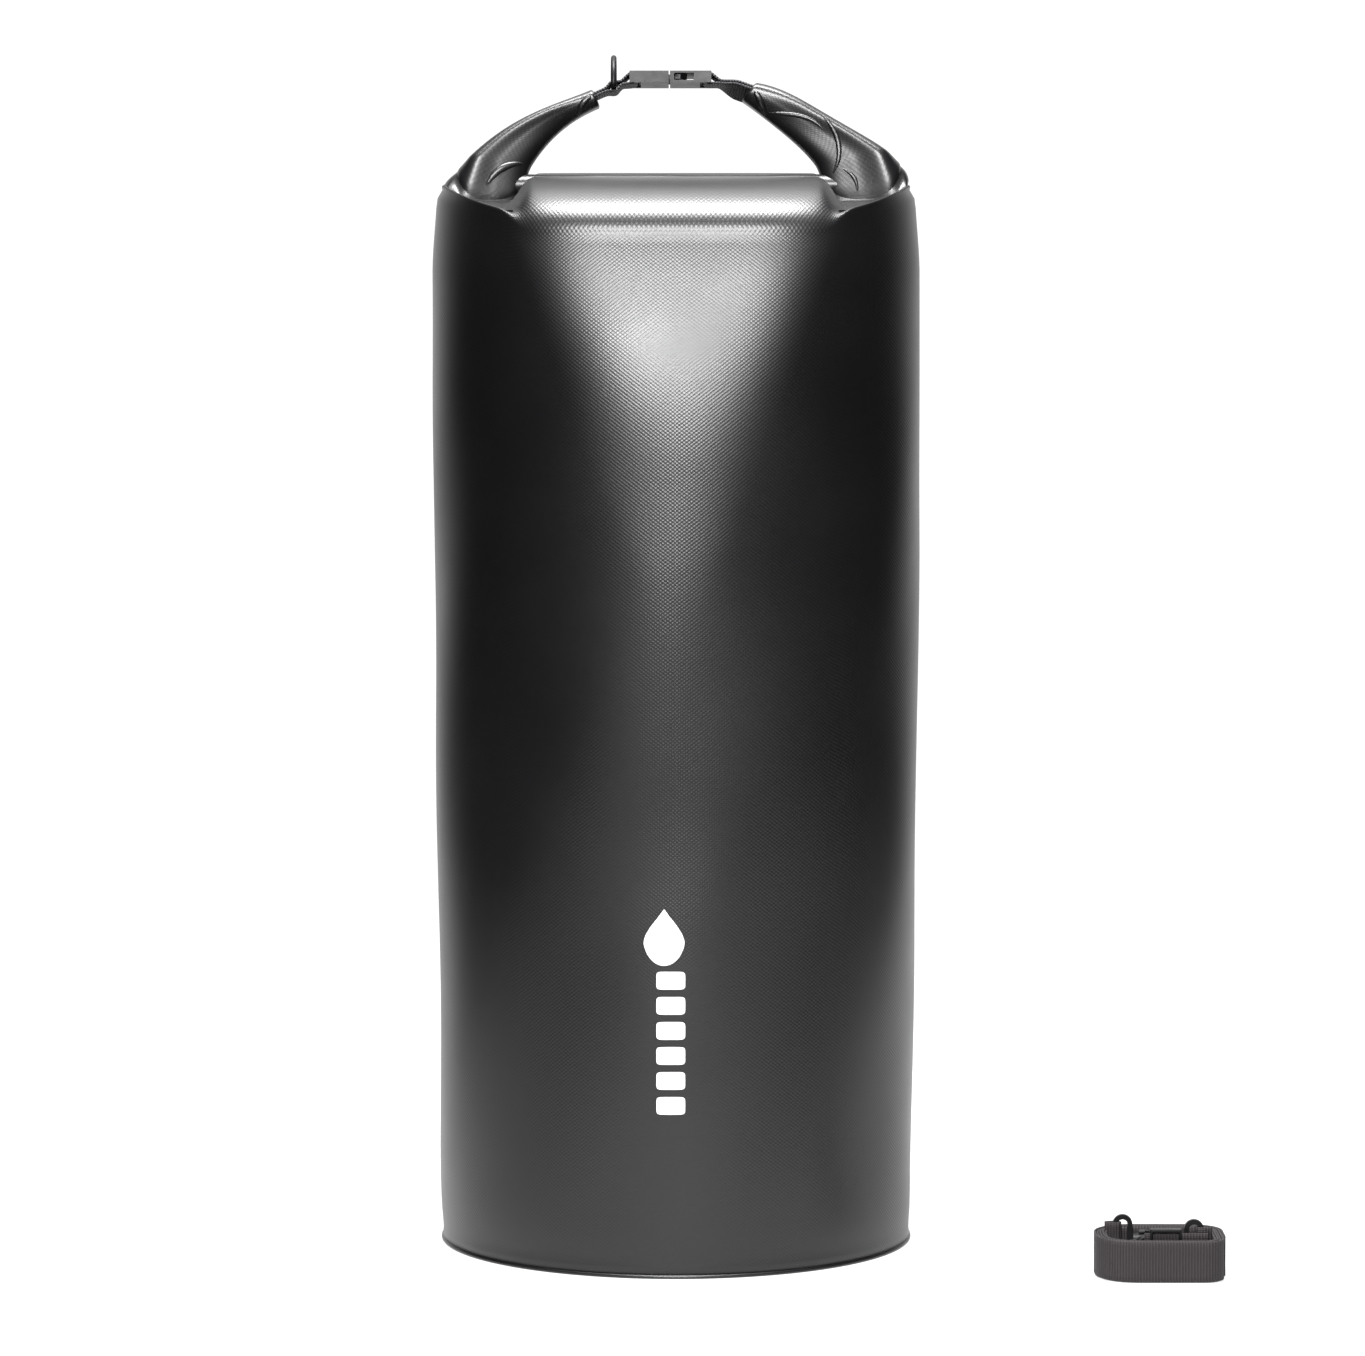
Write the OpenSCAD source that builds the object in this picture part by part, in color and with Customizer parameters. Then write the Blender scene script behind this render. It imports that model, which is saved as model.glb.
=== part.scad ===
// Roll-top storage bag of coated fabric with a buckled carry loop and a coiled shoulder strap.
// Origin: middle of the base's underside. +Z up, +X to the bag's right end of the roll, -Y to its front.
// Lengths are millimetres and angles are degrees.

/* [Bag body] */
// Outside diameter of the bag above the taper
bag_d = 300; // [250:1:360]
// Outside diameter of the wall at the base
base_d = 292; // [230:1:352]
// Height of the standing wall, floor to shoulder
wall_h = 640; // [500:5:770]
// Height up to which the wall widens from the base
taper_h = 430; // [200:5:460]
// Thickness of the coated fabric
skin = 1.2; // [0.8:0.1:2.0]
// How far the folded-over top stands above the shoulder
hump_h = 21; // [10:1:30]
// Height of the base panel's upturned, welded rim
rim_h = 22; // [10:1:40]
// Width of the welded overlap down the back
seam_w = 24; // [12:1:40]

/* [Rolled closure] */
// Width of the rolled mouth, front to back
roll_w = 28; // [24:0.5:36]
// Thickness of the rolled mouth
roll_t = 14; // [11:0.5:18]
// Thickness of the stiffening strip in the mouth hem
strip_t = 1.5; // [1:0.1:2.5]
// Width of the stiffening strip
strip_w = 18; // [12:1:22]
// Thickness of the two turned-up ends of the roll
arm_t = 13; // [10:0.5:14]
// Steepness of a turned-up end, hinge to tip
arm_rise = 33; // [25:1:42]
// How much a turned-up end bows over its length
arm_bend = 25; // [10:1:30]
// How far the carry loop leans back
lean = 7; // [0:1:15]

/* [Webbing and buckle] */
// Width of all webbing
web_w = 25; // [20:1:30]
// Thickness of one layer of webbing
web_t = 1.5; // [1:0.1:2]
// Height of the buckle's middle above the roll's tips
buckle_lift = 12; // [8:1:18]
// How far the buckle's joint sits off centre
buckle_off = -4.5; // [-10:0.5:10]
// Thickness of the buckle
buckle_t = 7; // [6:0.5:10]
// Diameter of the buckle's two webbing bars
bar_d = 4; // [3:0.25:5]
// Gap round a webbing bar inside its loop
bar_gap = 0.4; // [0.3:0.05:0.8]
// Thickness of the buckle's top, bottom and side walls
shell_t = 1.3; // [1:0.1:2]

/* [D-rings] */
// Thickness of the D-ring wire
wire_d = 3.5; // [2.5:0.25:4.5]
// Height of a D-ring, outside
ring_h = 22; // [21:0.5:30]
// Height of the lower ring's bar above the floor
tab_z = 95; // [60:1:160]

/* [Shoulder strap] */
// Outside length of the coiled strap, left to right
coil_x = 80; // [76:1:110]
// Outside depth of the coiled strap, front to back
coil_y = 63; // [60:1:90]
// Corner radius of the coil
coil_r = 25; // [18:1:28]
// Number of layers in the coil
turns = 5; // [3:1:7]
// Distance of the coil's middle from the bag's axis, to the right
strap_x = 292; // [260:1:400]
// Distance of the coil's middle in front of the bag's axis
strap_y = 130; // [60:1:200]
// Length of a snap hook, eye to nose
hook_l = 42; // [40:1:46]
// Gap between parts that turn or slide on each other
play = 0.3; // [0.3:0.05:0.5]

/* [Hidden] */
$fn = 64;
eps = 0.01;

// Bag body
bag_r = bag_d / 2;
base_r = base_d / 2;
welt_h = 2.4;
foot_inset = 0.5;
seam_angle = 52;
seam_gap = 6;
seam_t = 0.6;
shoulder_run = 60;
valley_h = 2;
channel_y = roll_w / 2 + 3;
channel_fall = 38;

// Rolled closure: the mouth's flat width is half the bag's girth, and its ends turn up at the hinges
hinge_inset = 14;
roll_drop = 5;
neck_gap = 1.6;
wedge_gap = 1.6;
roll_z = wall_h + valley_h + roll_drop + roll_t / 2;
hinge_x = bag_r - hinge_inset;
arm_len = PI * bag_d / 4 - hinge_x;
arc_r = arm_len * 180 / (PI * arm_bend);
head = arm_rise + arm_bend / 2;
knuckle_r = arm_t / 2;
knuckle_inset = 4;
knuckle_w = roll_w - 2 * knuckle_inset;
wedge_l = 2 * roll_t;
band_t = 2 * web_t;
bury = 18;
bury_angle = bury * 180 / (PI * arc_r);
strip_from = 3;
strip_clear = 1;
strip_to = arm_bend - bury_angle - strip_clear;

// The tip of the left turned-up end, seen from the front
tip_x = -hinge_x + arc_r * (sin(head) + cos(90 + head - arm_bend));
tip_z = roll_z + arc_r * (sin(90 + head - arm_bend) - cos(head));
buckle_z = tip_z + buckle_lift;

// Buckle: the plug is on the left and the socket on the right of its joint
buckle_side = 4.5;
buckle_w = web_w + 2 * buckle_side;
rail_w = 3.5;
plug_l = 22;
plug_bar_x = buckle_off - plug_l;
plug_end_x = plug_bar_x - bar_d / 2;
joint_gap = 0.8;
socket_x = buckle_off + joint_gap;
socket_l = 25.4;
socket_bar_x = socket_x + socket_l - bar_d / 2;
loop_r = bar_d / 2 + bar_gap + web_t;
slot_gap = 1;
cavity_l = 14.5;
lip_l = 2.6;
tongue_w = 5;
tongue_l = 11;
tongue_t = buckle_t - 2 * shell_t - 1;
latch_t = 2.2;
latch_l = 13;
latch_y = buckle_w / 2 - rail_w - latch_t / 2 - 1;
latch_root = 1.8;
latch_root_x = buckle_off - latch_root;
latch_slot_l = 20;
latch_skin = 0.6;
latch_flat = 0.45;
ring_step = 11.8;
ring_x = plug_bar_x - ring_step;

// D-rings
ring_in = web_w + 1;
ring_corner_r = wire_d * 0.6;
ring_leg = 0.5;
eye_r = wire_d / 2 + bar_gap + web_t;
tab_drop = 24;
patch_w = 62;
patch_h = 54;
patch_t = 1;
patch_low = 26;
patch_corner = 8;
tab_clear = 0.2;
tab_mid_z = tab_z + tab_drop / 2;
tab_leg_y = base_r + (bag_r - base_r) * (tab_mid_z - welt_h) / (taper_h - welt_h) + patch_t;
tab_rise = (bag_r - base_r) / (taper_h - welt_h) * tab_drop / 2;
tab_y = tab_leg_y + tab_rise + eye_r + tab_clear;

// Strap
wind_slack = 1.08;
coil_t = turns * web_t * wind_slack;
hollow_y = coil_y / 2 - coil_t;
slider_h = web_w + 6;
slider_l = 19;
slider_bar = 1.8;
slider_rail = 2.4;
slider_x = 3;
slider_d = 2 * (web_t / 2 + play + slider_bar);
run_x0 = -10;
run_lift = (slider_h - web_w) / 2;
eye_side = 4.5;
eye_h = web_w + 2 * eye_side;
eye_l = 12;
eye_wire = 3;
eye_inset = 4.9;
eye_x = coil_x / 2 - coil_t - eye_inset;
eye_lift = 0.2;
eye_z = eye_h / 2 + eye_lift;
hook_r = 6;
hook_wire = 3.6;
hook_nose = hook_l - hook_r - hook_wire / 2;
hook_reach = hook_r + hook_wire / 2;

// The room left in the coil's hollow is shared out before the slider, between the hooks and behind them
spare = 2 * hollow_y - slider_d - 4 * hook_reach;
run_share = 0.52;
between_share = 0.14;
behind_share = 0.06;
run_y = -hollow_y + run_share * spare + slider_d / 2;
rear_hook_y = hollow_y - hook_reach - behind_share * spare;
front_hook_y = rear_hook_y - 2 * hook_reach - between_share * spare;

// The run ends just short of the coil's round inner corner
run_clear = 0.1;
corner_in = coil_r - coil_t;
corner_dy = web_t / 2 - run_y - (coil_y / 2 - coil_r);
run_x1 = coil_x / 2 - coil_r + sqrt(pow(corner_in, 2) - pow(corner_dy, 2)) - run_clear;
tip_l = 2.5;
stem_r = 2.2;
stem_head_r = 3.2;
stem_gap = 0.1;
yoke_x = eye_l + 0.4;
yoke_l = 7;
yoke_r = 5.2;
yoke_wall = 2;
gate_d = 2.8;
gate_x = yoke_x + yoke_l + 1.4;

// ---------- shared shapes ----------

// A flat strip's section with round edges, its thickness along X and its width along Y
module slot_profile(w, t) {
  square([t, w - t], center = true);
  for (side = [-1, 1])
    translate([0, side * (w - t) / 2])
      circle(d = t);
}

// A bar of that section lying along X
module slot_bar(w, t, l) {
  rotate([0, 90, 0])
    linear_extrude(l, center = true)
      slot_profile(w, t);
}

// A round bar lying along Y
module y_bar(d, l) {
  rotate([90, 0, 0])
    cylinder(d = d, h = l, center = true);
}

// A shape drawn in X and Z, made l wide along Y
module across(l) {
  rotate([90, 0, 0])
    linear_extrude(l, center = true)
      children();
}

// Leans the carry loop back about the roll's axis
module leaning() {
  translate([0, 0, roll_z])
    rotate([-lean, 0, 0])
      translate([0, 0, -roll_z])
        children();
}

// A rectangle with round corners
module round_rect(x, y, r) {
  square([x - 2 * r, y], center = true);
  square([x, y - 2 * r], center = true);
  for (sx = [-1, 1], sy = [-1, 1])
    translate([sx * (x / 2 - r), sy * (y / 2 - r)])
      circle(r);
}

// A D-ring standing in Y and Z, the middle of its straight bar at the origin
module d_ring() {
  half_w = (ring_in + wire_d) / 2;
  bend_r = min(half_w, ring_h - wire_d - ring_corner_r - ring_leg);
  leg = ring_h - wire_d - bend_r;
  y_bar(wire_d, 2 * (half_w - ring_corner_r));
  for (side = [0, 1])
    mirror([0, side, 0]) {
      translate([0, half_w - ring_corner_r, ring_corner_r])
        rotate([90, 0, 90])
          rotate([0, 0, -90])
            ring_arc(ring_corner_r, 90);
      translate([0, half_w, ring_corner_r])
        cylinder(d = wire_d, h = leg - ring_corner_r);
      if (half_w > bend_r)
        translate([0, half_w - bend_r, leg])
          rotate([90, 0, 90])
            ring_arc(bend_r, 90);
    }
  if (half_w > bend_r)
    translate([0, 0, leg + bend_r])
      y_bar(wire_d, 2 * (half_w - bend_r));
  else
    translate([0, 0, leg])
      rotate([90, 0, 90])
        ring_arc(bend_r, 180);
}

// A stretch of the D-ring's wire bent round the Z axis
module ring_arc(r, angle) {
  rotate_extrude(angle = angle)
    translate([r, 0])
      circle(d = wire_d);
}

// ---------- bag body ----------

module bag_tube() {
  color("#17171a")
    rotate_extrude($fn = 128)
      polygon([
        [base_r - skin, welt_h], [base_r, welt_h], [bag_r, taper_h], [bag_r, wall_h],
        [bag_r - skin, wall_h], [bag_r - skin, taper_h]
      ]);
}

// Round base with an upturned rim that is welded inside the wall
module base_panel() {
  slope = (bag_r - base_r) / (taper_h - welt_h);
  foot = base_r - skin;
  top = foot + slope * (rim_h - welt_h);
  color("#141416")
    rotate_extrude($fn = 128)
      polygon([
        [0, 0], [foot - foot_inset, 0], [foot, welt_h], [top, rim_h], [top - skin, rim_h],
        [foot - skin, skin], [0, skin]
      ]);
}

// Thin bead of weld round the bottom edge
module base_welt() {
  foot = base_r - skin;
  color("#1c1c20")
    rotate_extrude($fn = 128)
      polygon([[foot - foot_inset, 0], [base_r, 0], [base_r, welt_h], [foot, welt_h]]);
}

// Radius of the wall at the height z
function wall_r(z) = base_r + (bag_r - base_r) * min(1, max(0, z - welt_h) / (taper_h - welt_h));

// The welded overlap: a thin strip that follows the wall from just above the base to the shoulder
module back_seam() {
  spread = seam_w * 180 / (PI * bag_r);
  seam_z1 = wall_h - seam_gap;
  foot = wall_r(seam_gap);
  color("#151518")
    rotate([0, 0, seam_angle - spread / 2])
      rotate_extrude(angle = spread, $fn = 128)
        polygon([
          [foot, seam_gap], [foot + seam_t, seam_gap], [bag_r + seam_t, taper_h], [bag_r + seam_t, seam_z1],
          [bag_r, seam_z1], [bag_r, taper_h]
        ]);
}

function eased(t) = t <= 0 ? 0 : t >= 1 ? 1 : t * t * (3 - 2 * t);

// Height of the folded-over top: it rises from the wall and falls to the channel where the roll lies
function top_z(y, wall_y) = wall_h + skin + valley_h * eased((wall_y - y) / channel_y)
  + (hump_h - valley_h) * sin(90 * min(1, (wall_y - y) / shoulder_run)) * eased((y - channel_y) / channel_fall);

// One half of the folded-over top as a thin closed sheet over half of the bag's mouth
module top_fold() {
  cols = 26;
  rows = 12;
  side_angle = 88;
  rim = [for (i = [0:cols]) -side_angle + 2 * side_angle * i / cols];
  top = [
    for (a = rim, j = [0:rows])
      let (wall_y = bag_r * cos(a), y = wall_y * (1 - j / rows))
        [bag_r * sin(a), -y, top_z(y, wall_y)]
  ];
  low = [for (p = top) [p.x, p.y, p.z - skin]];
  n = len(top);
  w = rows + 1;
  cells = [for (i = [0:cols - 1], j = [0:rows - 1]) i * w + j];
  faces = concat(
    [for (c = cells) each [[c, c + 1, c + w + 1], [c, c + w + 1, c + w]]],
    [for (c = cells) each [[n + c, n + c + w + 1, n + c + 1], [n + c, n + c + w, n + c + w + 1]]],
    [for (i = [0:cols - 1]) each [[i * w, (i + 1) * w, n + (i + 1) * w], [i * w, n + (i + 1) * w, n + i * w]]],
    [for (i = [0:cols - 1]) let (b = i * w + rows)
      each [[b, n + b, n + b + w], [b, n + b + w, b + w]]],
    [for (j = [0:rows - 1]) each [[j, n + j, n + j + 1], [j, n + j + 1, j + 1]]],
    [for (j = [0:rows - 1]) let (b = cols * w + j)
      each [[b, b + 1, n + b + 1], [b, n + b + 1, n + b]]]
  );
  polyhedron(concat(top, low), faces);
}

module front_top_fold() {
  color("#1a1a1d")
    top_fold();
}

module rear_top_fold() {
  color("#18181b")
    mirror([0, 1, 0])
      top_fold();
}

// The two walls pressed together just under the roll
module mouth_neck() {
  neck_z = wall_h + skin + valley_h;
  neck_top = roll_z - roll_t / 2 - neck_gap;
  color("#151518")
    translate([-hinge_x + wedge_l, -skin, neck_z])
      cube([2 * (hinge_x - wedge_l), 2 * skin, neck_top - neck_z]);
}

// Welded patch low on the back, a thin layer that follows the wall and carries the lower ring's tab
module ring_patch() {
  z0 = tab_z - patch_low;
  z1 = z0 + patch_h;
  color("#1b1b1e")
    intersection() {
      rotate_extrude($fn = 128)
        polygon([
          [wall_r(z0), z0], [wall_r(z0) + patch_t, z0], [wall_r(z1) + patch_t, z1], [wall_r(z1), z1]
        ]);
      translate([0, bag_r / 2 + base_r / 2, (z0 + z1) / 2])
        rotate([90, 0, 0])
          linear_extrude(bag_r + base_r, center = true)
            round_rect(patch_w, patch_h, patch_corner);
    }
}

// Everything inside the patch's outer face, for cutting the tab to lie on it
module patch_core() {
  z0 = welt_h;
  z1 = tab_z + tab_drop + tab_drop;
  rotate_extrude($fn = 128)
    polygon([[0, z0], [wall_r(z0) + patch_t, z0], [wall_r(z1) + patch_t, z1], [0, z1]]);
}

// Doubled webbing tab whose foot is looped round the lower ring's bar
module ring_tab() {
  color("#26262b")
    difference() {
      union() {
        translate([0, tab_y, tab_z])
          rotate([0, 90, 0])
            cylinder(r = eye_r, h = web_w, center = true);
        translate([-web_w / 2, tab_leg_y - tab_rise, tab_z])
          cube([web_w, band_t + 2 * tab_rise, tab_drop]);
      }
      translate([0, tab_y, tab_z])
        rotate([0, 90, 0])
          cylinder(r = wire_d / 2 + bar_gap, h = web_w + 2, center = true);
      patch_core();
    }
}

module lower_d_ring() {
  color("#0f0f11")
    translate([0, tab_y, tab_z])
      rotate([180, 0, 0])
        rotate([0, 0, 90])
          d_ring();
}

// ---------- rolled closure ----------

// Rolled mouth across the top: each end is hollowed for the fold, and sloped clear of the turned-up end
module mouth_roll() {
  color("#161619")
    leaning()
      difference() {
        translate([0, 0, roll_z])
          slot_bar(roll_w, roll_t, 2 * hinge_x);
        translate([0, 0, roll_z])
          slot_bar(strip_w, strip_t, 2 * (hinge_x - wedge_l));
        for (side = [0, 1])
          mirror([side, 0, 0])
            translate([-hinge_x, 0, roll_z]) {
              y_bar(2 * (knuckle_r + play), roll_w + 2);
              rotate([0, -head, 0])
                translate([-wedge_l, -roll_w, -knuckle_r - wedge_gap])
                  cube([4 * wedge_l, 2 * roll_w, 2 * wedge_l]);
            }
      }
}

module mouth_strip() {
  color("#2b2b2e")
    leaning()
      translate([0, 0, roll_z])
        slot_bar(strip_w, strip_t, 2 * (hinge_x - wedge_l));
}

// A strip section carried along the left turned-up end, from one angle of its bow to another
module along_arm(w, t, a0, a1) {
  translate([-hinge_x + arc_r * sin(head), 0, roll_z - arc_r * cos(head)])
    rotate([90, 0, 0])
      rotate([0, 0, 90 + head - a1])
        rotate_extrude(angle = a1 - a0, $fn = 200)
          translate([arc_r, 0])
            slot_profile(w, t);
}

module roll_end_shape(bar_x) {
  difference() {
    union() {
      along_arm(roll_w, arm_t, 0, arm_bend);
      translate([-hinge_x, 0, roll_z])
        y_bar(2 * knuckle_r, knuckle_w);
    }
    along_arm(strip_w, strip_t, strip_from, strip_to);
    across(web_w)
      band_outline(bar_x);
  }
}

// Doubled webbing, seen from the front, from a buckle bar back into the left roll end
module band_outline(bar_x) {
  run = sqrt(pow(tip_x - bar_x, 2) + pow(buckle_lift, 2));
  translate([bar_x, buckle_z])
    rotate(atan2(buckle_lift, bar_x - tip_x))
      translate([-run - bury, -band_t / 2])
        square([run + bury, band_t]);
}

// That webbing with a loop of it round each bar, given as [x, z, bore radius]
module looped_band(bar_x, loops) {
  across(web_w)
    difference() {
      union() {
        band_outline(bar_x);
        for (l = loops)
          translate([l[0], l[1]])
            circle(l[2] + web_t);
      }
      for (l = loops)
        translate([l[0], l[1]])
          circle(l[2]);
    }
}

module left_roll_end() {
  color("#17171a")
    leaning()
      roll_end_shape(plug_bar_x);
}

module left_strip() {
  color("#2b2b2e")
    leaning()
      along_arm(strip_w, strip_t, strip_from, strip_to);
}

// Height of the left band's middle above x
function band_z(x) = buckle_z - (plug_bar_x - x) * buckle_lift / (plug_bar_x - tip_x);

module left_webbing() {
  color("#232328")
    leaning()
      looped_band(plug_bar_x, [
        [plug_bar_x, buckle_z, bar_d / 2 + bar_gap],
        [ring_x, band_z(ring_x), wire_d / 2 + bar_gap]
      ]);
}

module top_d_ring() {
  color("#0f0f11")
    leaning()
      translate([ring_x, 0, band_z(ring_x)])
        d_ring();
}

module right_roll_end() {
  color("#17171a")
    leaning()
      mirror([1, 0, 0])
        roll_end_shape(-socket_bar_x);
}

module right_strip() {
  color("#2b2b2e")
    leaning()
      mirror([1, 0, 0])
        along_arm(strip_w, strip_t, strip_from, strip_to);
}

module right_webbing() {
  color("#232328")
    leaning()
      mirror([1, 0, 0])
        looped_band(-socket_bar_x, [[-socket_bar_x, buckle_z, bar_d / 2 + bar_gap]]);
}

// ---------- buckle ----------

// A block of the buckle from x0 to x1, w wide and t thick, in the buckle's middle plane
module block(x0, x1, w, t) {
  translate([x0, -w / 2, buckle_z - t / 2])
    cube([x1 - x0, w, t]);
}

// The half that pushes in: webbing bar, shoulder and middle tongue, with seats for the two latches
module buckle_plug() {
  shoulder_x = plug_bar_x + loop_r + slot_gap;
  color("#111114")
    leaning()
      difference() {
        union() {
          translate([plug_bar_x, 0, buckle_z])
            y_bar(bar_d, buckle_w - rail_w);
          for (side = [-1, 1])
            translate([0, side * (buckle_w - rail_w) / 2, 0])
              block(plug_end_x, shoulder_x + eps, rail_w, buckle_t);
          block(shoulder_x, buckle_off, buckle_w, buckle_t);
          block(buckle_off - eps, buckle_off + tongue_l, tongue_w, tongue_t);
        }
        for (side = [-1, 1])
          translate([latch_root_x, side * latch_y, buckle_z]) {
            cylinder(r = latch_t / 2 + play, h = tongue_t + 2 * play, center = true);
            translate([0, -latch_t / 2 - 3 * play, -tongue_t / 2 - play])
              cube([latch_slot_l, latch_t + 6 * play, tongue_t + 2 * play]);
          }
      }
}

// A springy side arm of the plug: a slim leg with a hooked head that bears on the socket's side lip
module latch(side) {
  head_x = socket_x + lip_l + play;
  head_l = latch_root_x + latch_l - head_x;
  head_y = buckle_w / 2 - latch_y - latch_skin;
  color("#111114")
    leaning()
      translate([0, side * latch_y, buckle_z]) {
        translate([latch_root_x, 0, 0])
          cylinder(d = latch_t, h = tongue_t, center = true);
        translate([latch_root_x, -latch_t / 2, -tongue_t / 2])
          cube([latch_l, latch_t, tongue_t]);
        linear_extrude(tongue_t, center = true)
          scale([1, side])
            polygon([
              [head_x, 0], [head_x, head_y], [head_x + head_l * latch_flat, head_y],
              [head_x + head_l, latch_t / 2], [head_x + head_l, 0]
            ]);
      }
}

module front_latch() {
  latch(-1);
}

module rear_latch() {
  latch(1);
}

// The half that receives: a hollow box with open sides for the latches, and a webbing bar
module buckle_socket() {
  end_x = socket_x + socket_l;
  box_end = socket_bar_x - loop_r - slot_gap;
  window_x = socket_x + lip_l;
  color("#111114")
    leaning()
      difference() {
        union() {
          block(socket_x, box_end, buckle_w, buckle_t);
          for (side = [-1, 1])
            translate([0, side * (buckle_w - rail_w) / 2, 0])
              block(box_end - eps, end_x, rail_w, buckle_t);
          translate([socket_bar_x, 0, buckle_z])
            y_bar(bar_d, buckle_w - rail_w);
        }
        block(socket_x - 1, socket_x + cavity_l, 2 * latch_y + latch_t + 2 * play, buckle_t - 2 * shell_t);
        block(window_x, socket_x + cavity_l, buckle_w + 2, buckle_t - 2 * shell_t);
      }
}

// ---------- shoulder strap ----------

// Moves a strap piece from the coil's own middle to where the strap lies
module at_strap() {
  translate([strap_x, -strap_y, 0])
    children();
}

// Outline of the coiled layers, seen from above
module coil_outline() {
  difference() {
    round_rect(coil_x, coil_y, coil_r);
    round_rect(coil_x - 2 * coil_t, coil_y - 2 * coil_t, coil_r - coil_t);
  }
}

module strap_coil() {
  color("#3a363b")
    at_strap()
      linear_extrude(web_w)
        coil_outline();
}

// The strap's two sewn loops, each from the coil's inner layer round the upright bar of a hook's eye
module strap_ends() {
  bore = eye_wire * sqrt(0.5) + bar_gap;
  color("#3a363b")
    at_strap()
      for (front = [0, 1])
        mirror([front, 0, 0])
          translate([0, front ? front_hook_y : rear_hook_y, eye_z - web_w / 2])
            difference() {
              union() {
                translate([-eye_x + eye_wire / 2, 0, 0])
                  cylinder(r = bore + web_t, h = web_w);
                translate([coil_t - coil_x / 2, -web_t, 0])
                  cube([coil_x / 2 - coil_t - eye_x, band_t, web_w]);
              }
              translate([-eye_x + eye_wire / 2, 0, -1])
                cylinder(r = bore, h = web_w + 2);
              translate([0, -(front ? front_hook_y : rear_hook_y), -1])
                linear_extrude(web_w + 2)
                  coil_outline();
            }
}

// The strap's inner end, which runs straight through the slider and stands on edge
module strap_run() {
  color("#3a363b")
    at_strap()
      translate([run_x0, run_y - web_t / 2, run_lift])
        cube([run_x1 - run_x0, web_t, web_w]);
}

// Slider: two end bars before the webbing and a middle bar behind it, between an upper and a lower rail
module strap_slider() {
  gap = web_t / 2 + play;
  mid_z = slider_h / 2;
  color("#141417")
    at_strap()
      translate([slider_x, run_y, 0]) {
        for (z = [slider_rail / 2, slider_h - slider_rail / 2])
          translate([0, 0, z])
            cube([slider_l, slider_d, slider_rail], center = true);
        for (side = [-1, 1])
          translate([side * (slider_l - slider_bar) / 2, -gap - slider_bar / 2, mid_z])
            cube([slider_bar, slider_bar, slider_h - slider_rail], center = true);
        translate([0, gap + slider_bar / 2, mid_z])
          cube([slider_bar, slider_bar, slider_h - slider_rail], center = true);
      }
}

// Lays a snap hook along the coil: the rear one's nose points right and the front one's left
module at_hook(front) {
  at_strap()
    mirror([front ? 1 : 0, 0, 0])
      translate([-eye_x, front ? front_hook_y : rear_hook_y, eye_z])
        rotate([0, 90, 0])
          mirror([1, 0, 0])
            children();
}

// The webbing eye of a snap hook, a round-ended loop, with the headed stem that the hook turns on
module hook_eye() {
  color("#141417") {
    across(eye_wire)
      difference() {
        translate([0, eye_l / 2])
          round_rect(eye_h, eye_l, eye_l / 2 - eps);
        translate([0, eye_l / 2])
          round_rect(eye_h - 2 * eye_wire, eye_l - 2 * eye_wire, eye_l / 2 - eye_wire - eps);
      }
    translate([0, 0, eye_l - eye_wire / 2])
      cylinder(r = stem_r, h = yoke_x + yoke_l - yoke_wall - eye_l + eye_wire / 2);
    translate([0, 0, yoke_x + yoke_wall])
      cylinder(r = stem_head_r, h = yoke_l - 2 * yoke_wall);
  }
}

// The turning hook: a hollow yoke over the stem's head, a back leg, a round nose and a seat for the gate
module hook_body() {
  leg_z = yoke_x + yoke_l / 2;
  color("#17171a")
    difference() {
      union() {
        translate([0, 0, yoke_x])
          cylinder(r = yoke_r, h = yoke_l);
        translate([-hook_r, 0, leg_z])
          cylinder(d = hook_wire, h = hook_nose - leg_z);
        translate([hook_r, 0, leg_z])
          cylinder(d = hook_wire, h = gate_x - leg_z);
        translate([hook_r, 0, hook_nose - tip_l])
          cylinder(d = hook_wire, h = tip_l);
        translate([0, 0, hook_nose])
          rotate([90, 0, 0])
            rotate_extrude(angle = 180)
              translate([hook_r, 0])
                circle(d = hook_wire);
      }
      translate([0, 0, yoke_x - 1])
        cylinder(r = stem_r + stem_gap, h = yoke_l - yoke_wall + 1);
      translate([0, 0, yoke_x + yoke_wall - stem_gap])
        cylinder(r = stem_head_r + stem_gap, h = yoke_l - 2 * yoke_wall + 2 * stem_gap);
      translate([hook_r, 0, gate_x])
        y_bar(gate_d + 2 * play, hook_wire + 2);
    }
}

// The sprung gate that closes the hook, straight from its seat to the nose
module hook_gate() {
  color("#1d1d21")
    translate([hook_r, 0, gate_x]) {
      y_bar(gate_d, hook_wire);
      cylinder(d = gate_d, h = hook_nose - tip_l - play - gate_x);
    }
}

module rear_hook_eye() {
  at_hook(false)
    hook_eye();
}

module rear_hook() {
  at_hook(false)
    hook_body();
}

module rear_hook_gate() {
  at_hook(false)
    hook_gate();
}

module front_hook_eye() {
  at_hook(true)
    hook_eye();
}

module front_hook() {
  at_hook(true)
    hook_body();
}

module front_hook_gate() {
  at_hook(true)
    hook_gate();
}

bag_tube();
base_panel();
base_welt();
back_seam();
front_top_fold();
rear_top_fold();
mouth_neck();
ring_patch();
ring_tab();
lower_d_ring();
mouth_roll();
mouth_strip();
left_roll_end();
left_strip();
left_webbing();
top_d_ring();
right_roll_end();
right_strip();
right_webbing();
buckle_plug();
front_latch();
rear_latch();
buckle_socket();
strap_coil();
strap_run();
strap_ends();
strap_slider();
rear_hook_eye();
rear_hook();
rear_hook_gate();
front_hook_eye();
front_hook();
front_hook_gate();
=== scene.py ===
# %% [markdown]
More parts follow.
